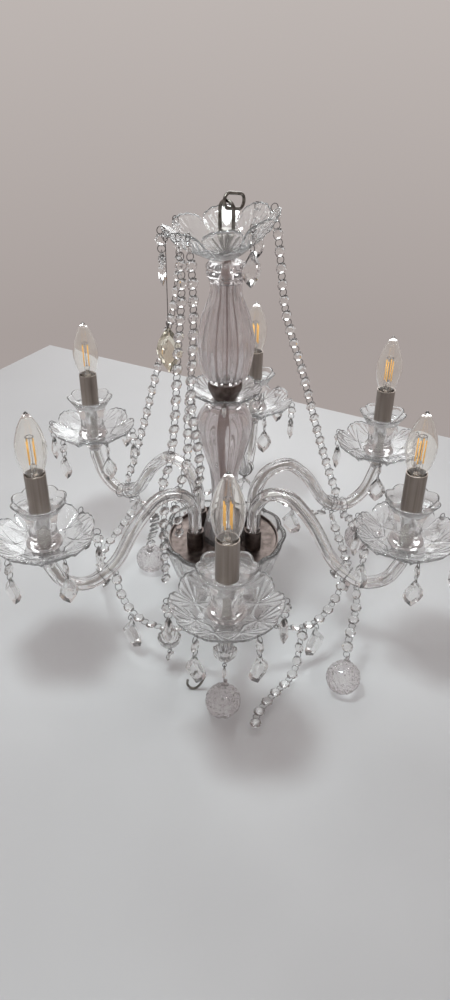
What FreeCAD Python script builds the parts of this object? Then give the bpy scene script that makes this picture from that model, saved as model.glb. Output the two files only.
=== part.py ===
"""Six-arm crystal candle chandelier, standing on its own bowl. Millimetres, +Z up.

The origin is the centre of the flat foot under the hub bowl, so the table top is z = 0.
Arms are numbered from the front one, counter-clockwise seen from above.
"""

import FreeCAD, Part
import math
import os

V = FreeCAD.Vector
UP = V(0, 0, 1)

# Driving dimensions
ARM_ANGLES = [-86.0, -25.1, 28.7, 82.5, 145.8, 214.0]  # degrees, as the arms are turned in their sockets
CANDLE_R = 240.0  # column axis to candle axis
SOCKET_R = 43.5  # column axis to arm socket
ARM_TUBE_R = 8.5
WIRE_DUCT_R = 2.4  # hollow down the middle of an arm
ARM_END_Z = 168.0  # top of the pan at the arm's end
SLEEVE_TOP = 270.0
SLEEVE_BOTTOM = 222.5
SLEEVE_R = 12.0
SLEEVE_WALL = 1.0
NIPPLE_R = 5.0
NIPPLE_GAP = 0.2  # radial room round a nipple or the stem
STEM_R = 5.0
CUP_RIM_R = 32.0
CUP_BASE_Z = 174.0
CUP_RIM_Z = 236.0
BOBECHE_R = 60.0
BOBECHE_RIM_Z = 189.0
BULB_R = 17.2
BULB_TOP_Z = 344.5
CAP_R = 7.0  # small screw cap
RUNNING_GAP = 0.05  # radial room of the cap in its holder
CROWN_R = 64.0
CROWN_RIM_Z = 506.0  # before the dish is tilted
CROWN_SEAT_Z = 466.0
CROWN_BORE_R = 6.4
CROWN_TILT = 8.5  # degrees, the dish sits askew on the collar, lower towards -X
CROWN_LIFT = 2.2  # how far the tilt raises its middle
MID_DISH_R = 43.5
MID_DISH_RIM_Z = 316.0
BOWL_R = 84.0
BOWL_RIM_Z = 107.0
FOOT_R = 42.0
PLATE_R = 72.0
PLATE_Z = 98.0
PLATE_THICKNESS = 2.5
APEX_R = 87.0  # where an arm is highest
BEAD_R = 7.0
BEAD_HALF_THICKNESS = 2.6
BEAD_HOLE_R = 0.9
BEAD_HOLE_AT = 5.2  # bead centre to hole centre
BEAD_PITCH = 18.6
WIRE_R = 0.45
RIM_RING_R = 4.2
EASED_HOLE_R = 1.1  # a hole eased round the ring that passes through it
ARM_RING_R = 10.6
BALL_R = 21.0
NECK_HOLE_Z = 24.0  # above the ball's centre
BALL_REST_Z = 21.3  # ball centre as it lies on the table
LOOP_TOP_Z = 528.0  # centre of the bail's top wire
LOOP_TURN = -35.0  # degrees, how the loop is turned about the stem
BAIL_WIRE_R = 2.0
LINK_TILT = -10.0  # degrees, the link's far end below level
LONG_CHAIN_ANGLES = [231.0, 242.5]  # the two crown chains that reach arm 6 near the column
CROWN_CHAIN_ANGLES = ARM_ANGLES[2:5] + LONG_CHAIN_ANGLES
CROWN_DROP_ANGLES = [-57.0, 55.0, 187.0]
OVAL_ANGLE = 209.0
OVAL_TOP_Z = 398.0
MID_CHAIN_ANGLE = 207.0
SWAG_MIDDLES = [(170.0, -46.0), (168.0, 1.8), (168.0, 55.0), (168.0, 114.0), (168.0, 180.0), (160.0, 230.5)]
SWAG_RING_R = (164.5, 177.0)  # where an arm's two swag rings sit
SWAG_BELL_AT = V(-58.0, -137.0, 70.0)  # the bell is on the swag ring nearest to this
TABLE_STRAND_AT = V(101.0, -129.0, 62.0)  # the loose strand is on the swag ring nearest to this
TABLE_STRAND = [V(102, -138, 32), V(99, -148, 13), V(92, -163, 7.2), V(76, -185, 7), V(63, -204, 7),
                V(54, -221, 7), V(52, -240, 7)]
PENDANT_RING_R = 191.0
CHAIN_RING_R = 171.0
INNER_CHAIN_R = 52.0
SHORT_CHAIN_R = 68.0
BALL_STRING_R = 110.0
CONNECTOR_R = 3.7
BELL_LENGTH = 24.0  # between the centres of the bell wire's eyes
MID_DROP_ANGLES = [-88.0, -30.0, 30.0, 90.0, 150.0]
BOBECHE_DROP_ANGLES = [-155.0, -93.0, -31.0, 31.0, 93.0, 155.0]  # degrees from the arm's own direction
BOBECHE_TURNS = [0.0, -30.0, -31.0, 0.0, 0.0, 0.0]  # how far each bobeche is turned on its arm


# Shared shapes

def polar(radius, angle_deg, z):
    a = math.radians(angle_deg)
    return V(radius * math.cos(a), radius * math.sin(a), z)


def radial(angle_deg):
    return polar(1.0, angle_deg, 0.0)


def spline_edge(points):
    curve = Part.BSplineCurve()
    curve.interpolate([V(r, 0, z) for r, z in points])
    return curve.toShape()


def line_edges(points):
    corners = [V(r, 0, z) for r, z in points]
    return [Part.makeLine(a, b) for a, b in zip(corners, corners[1:])]


def lathe(*runs):
    """Turned solid. Each run is ("line", points) or ("curve", points) in (r, z); runs join end to end."""
    edges = []
    for kind, points in runs:
        edges += [spline_edge(points)] if kind == "curve" else line_edges(points)
    wire = Part.Wire(edges)
    return Part.Face(wire).revolve(V(0, 0, 0), UP, 360)


def turned(points):
    """Turned solid with straight sides, closed back to its first point."""
    return lathe(("line", list(points) + [points[0]]))


def tube(outer_r, inner_r, z_low, z_high):
    outer = Part.makeCylinder(outer_r, z_high - z_low, V(0, 0, z_low))
    return outer.cut(Part.makeCylinder(inner_r, z_high - z_low, V(0, 0, z_low)))


def at_arm(shape, angle_deg, radius=CANDLE_R):
    """Copy of a shape made on the Z axis, moved out along one arm and turned to face along it."""
    moved = shape.copy()
    moved.translate(V(radius, 0, 0))
    moved.rotate(V(0, 0, 0), UP, angle_deg)
    return moved


def set_in(shape, origin, x_dir, y_dir, z_dir):
    """Copy of a shape with its local axes laid along the given unit directions."""
    o, x, y, z = origin, x_dir, y_dir, z_dir
    matrix = FreeCAD.Matrix(x.x, y.x, z.x, o.x, x.y, y.y, z.y, o.y, x.z, y.z, z.z, o.z)
    placed = shape.copy()
    placed.Placement = FreeCAD.Placement(matrix)
    return placed


def ring(centre, radius, axis, wire_r=WIRE_R):
    return Part.makeTorus(radius, wire_r, centre, axis)


def eased(shape, centre, radius, axis):
    """Shape with room cut in it for a wire ring."""
    return shape.cut(ring(centre, radius, axis, EASED_HOLE_R))


def gem(outline, half_thickness, table=0.55):
    """Faceted flat crystal in the XZ plane: an outline edge that rises to a smaller flat on each face."""
    count = len(outline)
    cx = sum(x for x, z in outline) / count
    cz = sum(z for x, z in outline) / count
    girdle = [V(x, 0, z) for x, z in outline]
    faces = []
    for side in (-1, 1):
        flat = [V(cx + table * (x - cx), side * half_thickness, cz + table * (z - cz)) for x, z in outline]
        faces.append(Part.Face(Part.makePolygon(flat + [flat[0]])))
        for i in range(count):
            j = (i + 1) % count
            corners = [girdle[i], girdle[j], flat[j], flat[i]]
            faces.append(Part.Face(Part.makePolygon(corners + [corners[0]])))
    return Part.makeSolid(Part.makeShell(faces))


def drilled(shape, *heights):
    """Shape with small holes along Y at the given heights on its Z axis."""
    for z in heights:
        shape = shape.cut(Part.makeCylinder(BEAD_HOLE_R, 30, V(0, -15, z), V(0, 1, 0)))
    return shape


def octagon_bead():
    corners = [math.radians(22.5 + 45 * k) for k in range(8)]
    outline = [(BEAD_R * math.cos(a), BEAD_R * math.sin(a)) for a in corners]
    return drilled(gem(outline, BEAD_HALF_THICKNESS), -BEAD_HOLE_AT, BEAD_HOLE_AT)


def drop_outline(width, height, fullness, count=14):
    """Teardrop outline, pointed at z = 0 and hanging to -height; fullness over 1 is widest lower down."""
    outline = []
    for k in range(count):
        turn = math.tau * k / count
        depth = (1 - math.cos(turn)) / 2
        half_width = width / 2 * math.sin(math.pi * depth**fullness)
        outline.append((math.copysign(half_width, math.sin(turn)) if 0 < k else 0.0, -height * depth))
    return outline


def leaf_drop():
    """Almond drop, hole at the local origin."""
    body = gem([(x, z + 3.5) for x, z in drop_outline(24.0, 40.0, 1.25)], 4.0)
    return drilled(body, 0.0)


def pear_drop():
    """Wide triangular drop, hole at the local origin."""
    body = gem([(x, z + 4.0) for x, z in drop_outline(36.0, 50.0, 1.7)], 5.0)
    return drilled(body, 0.0)


def oval_drop():
    """Large oval crystal, hole at the local origin."""
    body = gem([(x, z + 4.0) for x, z in drop_outline(28.0, 54.0, 1.0, 16)], 5.0)
    return drilled(body, 0.0)


BEAD = octagon_bead()
LEAF = leaf_drop()
PEAR = pear_drop()
OVAL = oval_drop()


def bead_string(points, face_dir):
    """Octagon beads on wire rings along a curve; face_dir is roughly where their flat faces look.

    The curve's two ends are the first and the last bead's outer holes.
    """
    curve = Part.BSplineCurve()
    curve.interpolate(points)
    edge = curve.toShape()
    reach = edge.Length - 2 * BEAD_HOLE_AT
    count = max(2, round(reach / BEAD_PITCH) + 1)
    solids = []
    last_hole = None
    for k in range(count):
        at = edge.getParameterByLength(BEAD_HOLE_AT + reach * k / (count - 1))
        middle, along = edge.valueAt(at), edge.tangentAt(at) * -1
        if k == 0:
            along = (points[0] - middle).normalize()
            middle = points[0] - along * BEAD_HOLE_AT
        elif k == count - 1:
            along = (middle - points[-1]).normalize()
            middle = points[-1] + along * BEAD_HOLE_AT
        side = along.cross(face_dir).normalize()
        solids.append(set_in(BEAD, middle, side, along.cross(side), along))
        top_hole = middle + along * BEAD_HOLE_AT
        if last_hole is not None:
            span = last_hole - top_hole
            solids.append(ring((last_hole + top_hole) * 0.5, span.Length / 2, span.cross(along.cross(side))))
        last_hole = middle - along * BEAD_HOLE_AT
    return solids


def rim_ring(centre, angle_deg):
    """Wire ring through a rim hole and round the rim's edge; what it holds hangs from its lowest point."""
    return ring(centre, RIM_RING_R, radial(angle_deg + 90))


def hung_drop(centre, angle_deg, drop):
    """Rim ring round a point of the rim, one bead, one ring and a drop, hanging straight down."""
    out = radial(angle_deg)
    across = radial(angle_deg + 90)
    top = centre - UP * RIM_RING_R
    bead_centre = top - UP * BEAD_HOLE_AT
    link_centre = bead_centre - UP * (BEAD_HOLE_AT + RIM_RING_R)
    drop_hole = link_centre - UP * RIM_RING_R
    solids = [rim_ring(centre, angle_deg)]
    solids.append(set_in(BEAD, bead_centre, across, out * -1, UP))
    solids.append(ring(link_centre, RIM_RING_R, across))
    solids.append(set_in(drop, drop_hole, across, out * -1, UP))
    return solids


def bobeche_rim(angle_deg):
    return polar(BOBECHE_R + 0.2, angle_deg, BOBECHE_RIM_Z)


def mid_rim(angle_deg):
    return polar(MID_DISH_R + 0.2, angle_deg, MID_DISH_RIM_Z)


def tilted(shape):
    """Copy of the crown dish as it sits on the collar."""
    leaning = shape.copy()
    leaning.rotate(V(0, 0, CROWN_SEAT_Z), V(0, 1, 0), -CROWN_TILT)
    leaning.translate(UP * CROWN_LIFT)
    return leaning


def crown_rim(angle_deg):
    return tilted(Part.Vertex(polar(CROWN_R + 0.2, angle_deg, CROWN_RIM_Z))).Point


def rim_holes(shape, rim, angles):
    """Shape with a curved hole for each ring in its rim; rim gives a ring's centre at an angle."""
    for angle in angles:
        shape = eased(shape, rim(angle), RIM_RING_R, radial(angle + 90))
    return shape


# Column, from the table up

def hub_bowl():
    return lathe(
        ("line", [(FOOT_R, 0), (FOOT_R + 2, 2)]),
        ("curve", [(FOOT_R + 2, 2), (58, 26), (72, 64), (BOWL_R, BOWL_RIM_Z)]),
        ("line", [(BOWL_R, BOWL_RIM_Z), (BOWL_R - 5, BOWL_RIM_Z)]),
        ("curve", [(BOWL_R - 5, BOWL_RIM_Z), (67, 66), (53, 29), (FOOT_R - 5, 10)]),
        ("line", [(FOOT_R - 5, 10), (STEM_R + NIPPLE_GAP, 10), (STEM_R + NIPPLE_GAP, 8), (18, 8),
                  (18, 0), (FOOT_R, 0)]),
    )


def bowl_nut():
    """Round cap nut, flush with the foot."""
    nut = Part.makeCylinder(17.5, 8, V(0, 0, 0))
    return nut.cut(Part.makeCylinder(STEM_R, 8, V(0, 0, 2)))


def stem_rod():
    return Part.makeCylinder(STEM_R, 488.0, V(0, 0, 2.0))


def hub_plate():
    rim_r = PLATE_R
    plate = turned([(STEM_R + NIPPLE_GAP, PLATE_Z - PLATE_THICKNESS), (rim_r, PLATE_Z - PLATE_THICKNESS),
                    (rim_r + 1.5, PLATE_Z), (rim_r + 1.5, PLATE_Z + 3), (rim_r, PLATE_Z + 3),
                    (rim_r - 1.5, PLATE_Z), (STEM_R + NIPPLE_GAP, PLATE_Z)])
    for angle in ARM_ANGLES:
        hole = Part.makeCylinder(3.2, 6, polar(SOCKET_R, angle, PLATE_Z - 4))
        plate = plate.cut(hole)
    return plate


def arm_cup():
    """Metal cup that an arm's inner end stands in, with a screw hole in its floor."""
    return turned([(3.2, PLATE_Z), (10.2, PLATE_Z), (10.9, PLATE_Z + 2), (10.9, 124), (11.4, 126),
                   (9.1, 126), (9.1, PLATE_Z + 3), (3.2, PLATE_Z + 3)])


def cup_screw():
    head_z = PLATE_Z - PLATE_THICKNESS
    return turned([(1.8, head_z - 3), (5.0, head_z - 3), (5.0, head_z), (3.0, head_z), (3.0, PLATE_Z + 4.5),
                   (1.8, PLATE_Z + 4.5)])


def terminal_block():
    """Connector strip inside the bowl where the six arm wires meet."""
    strip = Part.makeBox(34, 12, 11, V(-17, 14, 70))
    for k in range(4):
        screw_well = Part.makeCylinder(2.2, 5, V(-12.5 + 8.5 * k, 20, 77))
        strip = strip.cut(screw_well)
    return strip


def lower_baluster():
    bore = STEM_R + NIPPLE_GAP
    return lathe(
        ("line", [(bore, PLATE_Z), (27, PLATE_Z), (29, 102)]),
        ("curve", [(29, 102), (24, 128), (16.5, 160), (18.5, 201), (27, 232), (35, 268), (30, 287), (22, 296)]),
        ("line", [(22, 296), (22, 299), (bore, 299), (bore, PLATE_Z)]),
    )


def small_dish(dish_r, rim_z, centre_z, bore, thickness):
    """Shallow turned dish with a hole in the middle."""
    drop = rim_z - centre_z
    return lathe(
        ("line", [(bore, centre_z), (14, centre_z)]),
        ("curve", [(14, centre_z), (dish_r * 0.62, centre_z + 0.35 * drop), (dish_r, rim_z - thickness / 2)]),
        ("line", [(dish_r, rim_z - thickness / 2), (dish_r, rim_z + thickness / 2)]),
        ("curve", [(dish_r, rim_z + thickness / 2), (dish_r * 0.6, centre_z + 0.35 * drop + thickness * 1.1),
                   (14, centre_z + thickness * 1.6)]),
        ("line", [(14, centre_z + thickness * 1.6), (bore, centre_z + thickness * 1.6), (bore, centre_z)]),
    )


def mid_dish():
    dish = small_dish(MID_DISH_R, MID_DISH_RIM_Z, 299.0, STEM_R + NIPPLE_GAP, 3.0)
    return rim_holes(dish, mid_rim, MID_DROP_ANGLES + [MID_CHAIN_ANGLE])


def mid_ring():
    return turned([(STEM_R + NIPPLE_GAP, 304), (13.5, 304), (17, 310), (20.5, 318), (20.5, 324), (19, 326),
                   (STEM_R + NIPPLE_GAP, 326)])


def upper_baluster():
    bore = STEM_R + NIPPLE_GAP
    return lathe(
        ("line", [(bore, 326), (19, 326), (22, 330)]),
        ("curve", [(22, 330), (28.5, 340), (33, 360), (33.6, 378), (28, 405), (20, 426), (18, 438), (19.5, 447),
                   (22, 451)]),
        ("line", [(22, 451), (bore, 451), (bore, 326)]),
    )


def top_collar():
    bore = STEM_R + NIPPLE_GAP
    return turned([(bore, 451), (20, 451), (22.5, 453.5), (22.5, 462), (19, 466), (bore, 466)])


def crown_dish():
    dish = tilted(small_dish(CROWN_R, CROWN_RIM_Z, CROWN_SEAT_Z, CROWN_BORE_R, 3.0))
    return rim_holes(dish, crown_rim, CROWN_CHAIN_ANGLES + CROWN_DROP_ANGLES + [OVAL_ANGLE])


def crown_nut():
    return turned([(STEM_R, 474.8), (9, 474.8), (9.5, 477), (9, 484), (STEM_R, 484)])


def hanging_loop():
    """Screwed-on base with an upright bail; the bail's hole takes the hanging link."""
    base = turned([(STEM_R, 484), (9, 484), (9, 497), (6, 500), (0, 500), (0, 490), (STEM_R, 490)])
    half_width, wire_r = 9.0, BAIL_WIRE_R
    shoulder_z = LOOP_TOP_Z - half_width
    foot_l, foot_r = V(-half_width, 0, 490), V(half_width, 0, 490)
    top_l, top_r = V(-half_width, 0, shoulder_z), V(half_width, 0, shoulder_z)
    crown = Part.Arc(top_l, V(0, 0, shoulder_z + half_width), top_r).toShape()
    path = Part.Wire([Part.makeLine(foot_l, top_l), crown, Part.makeLine(top_r, foot_r)])
    section = Part.Wire(Part.makeCircle(wire_r, foot_l, UP))
    bail = path.makePipeShell([section], True, False)
    feet = [Part.makeCylinder(wire_r + 1.2, 8, V(x, 0, 488)) for x in (-half_width, half_width)]
    loop = base.fuse([bail] + feet)
    loop.rotate(V(0, 0, 0), UP, LOOP_TURN)
    return loop


def hanging_link():
    """Oval chain link threaded on the bail, lying back."""
    wire_r, half_width, half_length = 1.8, 7.5, 17.0
    straight = half_length - half_width
    lower_l, lower_r = V(0, -straight, -half_width), V(0, straight, -half_width)
    upper_l, upper_r = V(0, -straight, half_width), V(0, straight, half_width)
    path = Part.Wire([
        Part.makeLine(lower_l, lower_r),
        Part.Arc(lower_r, V(0, half_length, 0), upper_r).toShape(),
        Part.makeLine(upper_r, upper_l),
        Part.Arc(upper_l, V(0, -half_length, 0), lower_l).toShape(),
    ])
    section = Part.Wire(Part.makeCircle(wire_r, lower_l, V(0, 1, 0)))
    link = path.makePipeShell([section], True, True)
    link.translate(V(0, half_length - wire_r - BAIL_WIRE_R - 0.4, 0))
    link.rotate(V(0, 0, 0), V(1, 0, 0), LINK_TILT)
    link.rotate(V(0, 0, 0), UP, LOOP_TURN)
    link.translate(V(0, 0, LOOP_TOP_Z))
    return link


# Arms and candles

ARM_LINE = [(SOCKET_R, 104), (SOCKET_R, 158), (60, 187), (93, 193), (125, 164), (156, 113), (194, 95),
            (226, 113), (CANDLE_R, 148), (CANDLE_R, ARM_END_Z)]


def rounded_path(corners):
    """Straight runs joined by tangent arcs, each as large as its two runs allow."""
    points = [V(r, 0, z) for r, z in corners]
    edges = []
    start = points[0]
    for before, corner, after in zip(points, points[1:], points[2:]):
        run_in, run_out = corner - before, after - corner
        cut = 0.45 * min(run_in.Length, run_out.Length)
        arc_start = corner - run_in.normalize() * cut
        arc_end = corner + run_out.normalize() * cut
        half_turn = run_in.getAngle(run_out) / 2
        to_middle = (run_out - run_in).normalize()
        sagitta = cut * math.tan(half_turn / 2)
        chord_middle = (arc_start + arc_end) * 0.5
        edges.append(Part.makeLine(start, arc_start))
        edges.append(Part.Arc(arc_start, chord_middle - to_middle * sagitta * math.cos(half_turn), arc_end).toShape())
        start = arc_end
    edges.append(Part.makeLine(start, points[-1]))
    return Part.Wire(edges)


def swept(path, radius):
    section = Part.Wire(Part.makeCircle(radius, path.Vertexes[0].Point, UP))
    return path.makePipeShell([section], True, False)


ARM_PATH = rounded_path(ARM_LINE)


def arm_blank():
    """Hollow S-curved arm in the XZ plane with a pan at its outer end."""
    arm = swept(ARM_PATH, ARM_TUBE_R)
    pan = turned([(0, 150), (ARM_TUBE_R + 0.5, 150), (12, 158), (17, 163), (17, ARM_END_Z), (0, ARM_END_Z)])
    pan.translate(V(CANDLE_R, 0, 0))
    socket = Part.makeCylinder(NIPPLE_R + NIPPLE_GAP, 20, V(CANDLE_R, 0, ARM_END_Z - 18))
    return arm.fuse(pan).cut(swept(ARM_PATH, WIRE_DUCT_R)).cut(socket)


def arm_wire():
    """Clear flex lying in an arm's duct, from the hub plate to the nipple's foot."""
    path = rounded_path([(SOCKET_R, 80)] + ARM_LINE[1:-1] + [(CANDLE_R, 151)])
    return swept(path, WIRE_DUCT_R - 0.9)


def nipple():
    return tube(NIPPLE_R, 2.6, ARM_END_Z - 17, 226)


def bobeche(turn):
    dish = small_dish(BOBECHE_R, BOBECHE_RIM_Z, ARM_END_Z, NIPPLE_R + NIPPLE_GAP, 3.5)
    return rim_holes(dish, bobeche_rim, [a + turn for a in BOBECHE_DROP_ANGLES])


def candle_cup():
    bore = NIPPLE_R + NIPPLE_GAP
    ledge_z = SLEEVE_BOTTOM - 0.1
    return lathe(
        ("line", [(bore, CUP_BASE_Z), (13, CUP_BASE_Z), (20, 177.5), (21, 179)]),
        ("curve", [(21, 179), (17, 187), (16.5, 200), (19, 214), (25, 226), (CUP_RIM_R, CUP_RIM_Z)]),
        ("line", [(CUP_RIM_R, CUP_RIM_Z), (CUP_RIM_R - 2.5, CUP_RIM_Z)]),
        ("curve", [(CUP_RIM_R - 2.5, CUP_RIM_Z), (22, 228), (SLEEVE_R + 1.2, ledge_z)]),
        ("line", [(SLEEVE_R + 1.2, ledge_z), (bore, ledge_z), (bore, CUP_BASE_Z)]),
    )


def candle_sleeve():
    return tube(SLEEVE_R, SLEEVE_R - SLEEVE_WALL, SLEEVE_BOTTOM, SLEEVE_TOP)


def lamp_holder():
    """Screw socket on top of the nipple, with a running bore for the bulb's cap."""
    bore = CAP_R + RUNNING_GAP
    return turned([(0, 226), (9, 226), (10.2, 229), (10.2, 262), (bore, 262), (bore, 237), (0, 237)])


def bulb():
    cap = turned([(0, 238), (3, 238), (CAP_R, 241), (CAP_R, 264), (0, 264)])
    glass = lathe(
        ("line", [(0, 264), (6.8, 264)]),
        ("curve", [(6.8, 264), (9.0, 269), (14, 281), (BULB_R, 298), (16, 311), (11.5, 326), (5.5, 338),
                   (2.2, 343)]),
        ("line", [(2.2, 343), (0, BULB_TOP_Z), (0, 264)]),
    )
    return [cap, glass]


# Crystals

LINK_R = 3.4
LINK_OFFSET = LINK_R - 2 * WIRE_R - 0.15  # link centre to the wire that it hangs on
HOOK_R = 4.0
SLOPED_GAP = 0.6  # a hook's room on a ring that slopes
ARM_CENTRES = ARM_PATH.discretize(Number=600)


def arm_station(arm, radius):
    """Centre of an arm's tube at a radius, its direction there, and the direction across it that points up."""
    index = min(range(1, 599), key=lambda k: abs(ARM_CENTRES[k].x - radius))
    centre = ARM_CENTRES[index]
    step = (ARM_CENTRES[index + 1] - ARM_CENTRES[index - 1]).normalize()
    out = radial(ARM_ANGLES[arm])
    along = out * step.x + UP * step.z
    return out * centre.x + UP * centre.z, along, UP * step.x - out * step.z


def arm_ring(arm, radius):
    centre, along, _ = arm_station(arm, radius)
    return ring(centre, ARM_RING_R, along)


def arm_link(arm, radius, side):
    """Centre of a small link on an arm ring, above the arm (side 1) or below it (side -1)."""
    centre, _, across = arm_station(arm, radius)
    return centre + across * side * (ARM_RING_R + LINK_OFFSET)


def link_ring(arm, centre):
    return ring(centre, LINK_R, radial(ARM_ANGLES[arm] + 90))


def crown_chain(rim_centre, rim_angle, middle, arm, radius):
    """Bead chain from a ring in a dish's rim to a ring on an arm."""
    link = arm_link(arm, radius, 1)
    start = rim_centre - UP * RIM_RING_R
    solids = bead_string([start] + middle + [link + UP * LINK_R], radial(ARM_ANGLES[arm]))
    solids[0] = eased(solids[0], rim_centre, RIM_RING_R, radial(rim_angle + 90))
    solids[-2] = eased(solids[-2], link, LINK_R, radial(ARM_ANGLES[arm] + 90))
    return solids + [rim_ring(rim_centre, rim_angle), arm_ring(arm, radius), link_ring(arm, link)]


def saddle_chain(arm):
    """Crown rim to the low bend of an arm, hanging in a shallow curve."""
    angle = ARM_ANGLES[arm]
    line = [(68, 455), (77, 402), (101, 333), (125, 262), (149, 192), (165, 150)]
    return crown_chain(crown_rim(angle), angle, [polar(r, angle, z) for r, z in line], arm, CHAIN_RING_R)


def tail(arm, radius, *lower):
    """Loose end of a chain, hanging below its arm ring past the given (r, z) points."""
    link = arm_link(arm, radius, -1)
    top = link - UP * LINK_R
    solids = bead_string([top] + [polar(r, ARM_ANGLES[arm], z) for r, z in lower], radial(ARM_ANGLES[arm]))
    solids[0] = eased(solids[0], link, LINK_R, radial(ARM_ANGLES[arm] + 90))
    return solids + [link_ring(arm, link)]


def crown_chains():
    solids = []
    for arm in (2, 3, 4):
        solids += saddle_chain(arm)
    left = [V(-44, -51, 440), V(-49, -52, 380), V(-53, -51, 320), V(-58, -50, 270), V(-65, -49.5, 232)]
    solids += crown_chain(crown_rim(LONG_CHAIN_ANGLES[0]), LONG_CHAIN_ANGLES[0], left, 5, APEX_R)
    right = [V(-31, -57, 440), V(-33, -54, 380), V(-36, -50, 318), V(-31, -43, 270), V(-28, -36, 232)]
    solids += crown_chain(crown_rim(LONG_CHAIN_ANGLES[1]), LONG_CHAIN_ANGLES[1], right, 5, INNER_CHAIN_R)
    short = [V(-43, -23, 275), V(-44, -26, 235)]
    solids += crown_chain(mid_rim(MID_CHAIN_ANGLE), MID_CHAIN_ANGLE, short, 5, SHORT_CHAIN_R)
    solids += tail(5, SHORT_CHAIN_R, (68, 150), (67, 124))
    solids += tail(5, APEX_R, (89, 140), (89, 105), (89, 58))
    return solids


def swag(arm):
    """Bead swag from one arm's low bend to the next arm's, with a pear drop on its middle ring."""
    following = (arm + 1) % 6
    middle_r, middle_angle = SWAG_MIDDLES[arm]
    first, last = arm_link(arm, SWAG_RING_R[0], -1), arm_link(following, SWAG_RING_R[1], -1)
    start, end = first - UP * LINK_R, last - UP * LINK_R
    middle = polar(middle_r, middle_angle, 62)
    out = radial(middle_angle)
    lead_in = (start + middle) * 0.5 - UP * 7 + out * 3
    lead_out = (end + middle) * 0.5 - UP * 7 + out * 3
    solids = bead_string([start, lead_in, middle, lead_out, end], out)
    solids[0] = eased(solids[0], first, LINK_R, radial(ARM_ANGLES[arm] + 90))
    solids[-2] = eased(solids[-2], last, LINK_R, radial(ARM_ANGLES[following] + 90))
    rings = [s for s in solids if s.Faces[0].Surface.TypeId == "Part::GeomToroid"]
    hook, low = hook_on(nearest(rings, middle), out)
    solids += [hook, set_in(PEAR, low, out.cross(UP), out, UP)]
    solids += [link_ring(arm, first), link_ring(following, last)]
    if arm == 0:
        solids += table_strand(nearest(rings, TABLE_STRAND_AT), out)
    if arm == 5:
        solids += swag_bell(nearest(rings, SWAG_BELL_AT), out)
    return solids


def nearest(shapes, point):
    return min(shapes, key=lambda shape: (shape.CenterOfMass - point).Length)


def hook_on(held, out, gap=0.15):
    """Ring hanging from the outer side of a swag's ring, and its lowest point."""
    centre = held.CenterOfMass + out * held.Faces[0].Surface.MajorRadius - UP * (HOOK_R - 2 * WIRE_R - gap)
    return ring(centre, HOOK_R, out.cross(UP)), centre - UP * HOOK_R


def table_strand(held, out):
    """Loose strand from a ring of a swag down to the table."""
    hook, low = hook_on(held, out, SLOPED_GAP)
    strand = bead_string([low] + TABLE_STRAND, out)
    strand[0] = eased(strand[0], low + UP * HOOK_R, HOOK_R, out.cross(UP))
    return strand + [hook]


def swag_bell(held, out):
    """Bell with a bead under it, on a ring of a swag."""
    hook, eye = hook_on(held, out, SLOPED_GAP)
    across = out.cross(UP)
    link = eye - UP * (BELL_LENGTH + LINK_R)
    bell = [set_in(solid, eye, across, out, UP) for solid in bell_on_wire()]
    bead = set_in(BEAD, link - UP * (LINK_R + BEAD_HOLE_AT), across, out, UP)
    return bell + [hook, ring(link, LINK_R, across), bead]


def lower_swags():
    solids = []
    for arm in range(6):
        solids += swag(arm)
        solids += [arm_ring(arm, radius) for radius in SWAG_RING_R]
        if arm != 5:
            solids.append(arm_ring(arm, PENDANT_RING_R))
    solids.append(arm_ring(5, BALL_STRING_R))
    return solids


def glass_ball():
    """Ball with a drilled neck, centred on the local origin."""
    neck_r, neck_top = 2.2, 26.2
    shoulder = Part.Arc(V(0, 0, -BALL_R), V(BALL_R, 0, 0), V(5.0, 0, math.sqrt(BALL_R**2 - 25))).toShape()
    shoulder_z = shoulder.Vertexes[1].Z
    neck = line_edges([(5.0, shoulder_z), (neck_r, 22.2), (neck_r, neck_top), (0, neck_top), (0, -BALL_R)])
    ball = Part.Face(Part.Wire([shoulder] + neck)).revolve(V(0, 0, 0), UP, 360)
    return ball.cut(Part.makeCylinder(1.25, 10, V(0, -5, NECK_HOLE_Z), V(0, 1, 0)))


def bell_on_wire():
    """Bell on a wire with an eye at each end, the upper eye at the origin."""
    eye_r, length = 2.2, BELL_LENGTH
    upper = ring(V(0, 0, 0), eye_r, V(0, 1, 0))
    lower = ring(V(0, 0, -length), eye_r, V(0, 1, 0))
    rod = Part.makeCylinder(WIRE_R, length - 2 * eye_r, V(0, 0, eye_r - length))
    bell = turned([(0.8, -3.2), (14, -3.2), (14.5, -6), (12, -13), (7, -18), (4, -20), (0.8, -20)])
    return [rod.fuse([upper, lower]), bell]


def resting_ball(ball_xy, string_end, hole_dir):
    """Ball lying on the table with its neck towards the string's end, and the middle of its neck's hole."""
    centre = V(ball_xy[0], ball_xy[1], BALL_REST_Z)
    lift = (string_end - centre).normalize()
    across = hole_dir.cross(lift).normalize()
    return set_in(glass_ball(), centre, across, lift.cross(across), lift), centre + lift * NECK_HOLE_Z


def ball_pendant(arm, radius, middle, ball_xy):
    """Link, bead string and ball; the ball lies on the table and its string is slack."""
    out = radial(ARM_ANGLES[arm])
    link = arm_link(arm, radius, -1)
    top = link - UP * LINK_R
    ball, neck = resting_ball(ball_xy, middle[-1], out)
    lift = (middle[-1] - neck).normalize()
    end = neck + lift * 2 * CONNECTOR_R
    across = out.cross(lift).normalize()
    solids = bead_string([top] + middle + [end], out)
    solids[0] = eased(solids[0], link, LINK_R, radial(ARM_ANGLES[arm] + 90))
    solids[-2] = eased(solids[-2], (neck + end) * 0.5, CONNECTOR_R, across)
    return solids + [link_ring(arm, link), ring((neck + end) * 0.5, CONNECTOR_R, across), ball]


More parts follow.
